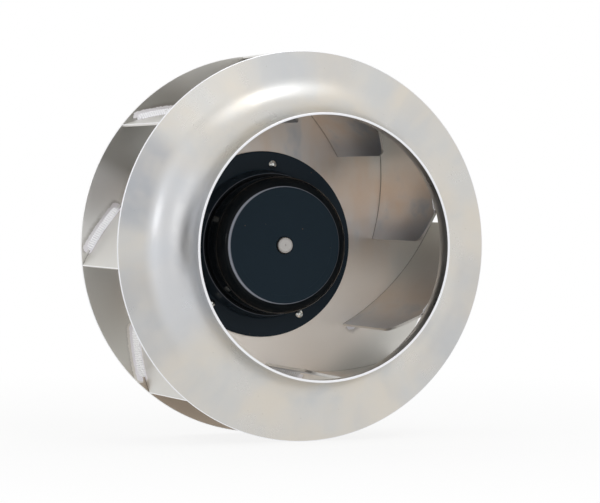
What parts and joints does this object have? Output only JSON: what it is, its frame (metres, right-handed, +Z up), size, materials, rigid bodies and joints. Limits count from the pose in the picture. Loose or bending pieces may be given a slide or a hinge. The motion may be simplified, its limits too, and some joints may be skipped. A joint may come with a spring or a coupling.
{
  "type": "centrifugal fan",
  "caption": "Backward-curved centrifugal impeller, welded between a flat backplate and a flared inlet shroud, on a built-in external-rotor motor with a rear mounting flange.",
  "frame": {"origin": "centre of the motor flange's mounting face, on the spin axis", "axes": "+Y along the spin axis, out of the mounting face; the inlet eye faces -Y; +Z up as in the picture"},
  "size_m": [0.404, 0.227, 0.404],
  "materials": {
    "spun_aluminium": "satin, spun",
    "sheet_aluminium": "satin sheet",
    "weld_metal": "bright rippled weld",
    "black_paint": "gloss",
    "zinc_steel": "zinc plated",
    "lamination_steel": "stacked sheet",
    "cast_aluminium": "die-cast",
    "ground_steel": "ground",
    "spring_steel": "phosphated",
    "turned_steel": "turned",
    "enamelled_copper": "enamelled wire",
    "insulation": "moulded",
    "black_rubber": "moulded"
  },
  "bodies": {
    "motor_stator": {"stator_flange": "cast_aluminium", "bearing_tube": "turned_steel", "front_outer_race": "ground_steel", "rear_outer_race": "ground_steel", "bore_ring": "spring_steel", "wave_spring": "spring_steel", "stator_core": "lamination_steel", "windings": "enamelled_copper", "end_insulators": "insulation", "cable_grommet": "black_rubber"},
    "impeller": {"shroud": "spun_aluminium", "backplate": "sheet_aluminium", "blade_1": "sheet_aluminium", "blade_2": "sheet_aluminium", "blade_3": "sheet_aluminium", "blade_4": "sheet_aluminium", "blade_5": "sheet_aluminium", "blade_6": "sheet_aluminium", "blade_7": "sheet_aluminium", "blade_8": "sheet_aluminium", "outer_plate_welds": "weld_metal", "inner_plate_welds": "weld_metal", "shroud_welds": "weld_metal", "hub_flange": "black_paint", "hub_screws": "zinc_steel", "hub_nuts": "zinc_steel", "rotor_can": "black_paint", "rotor_core": "lamination_steel", "rotor_cage": "cast_aluminium", "shaft": "ground_steel", "shaft_ring": "spring_steel", "front_inner_race": "ground_steel", "rear_inner_race": "ground_steel"}
  },
  "joints": [
    {"name": "impeller_spin", "type": "hinge", "parent": "motor_stator", "child": "impeller", "pos_m": [0, -0.057, 0], "axis": [0, 1, 0], "continuous": true}
  ]
}
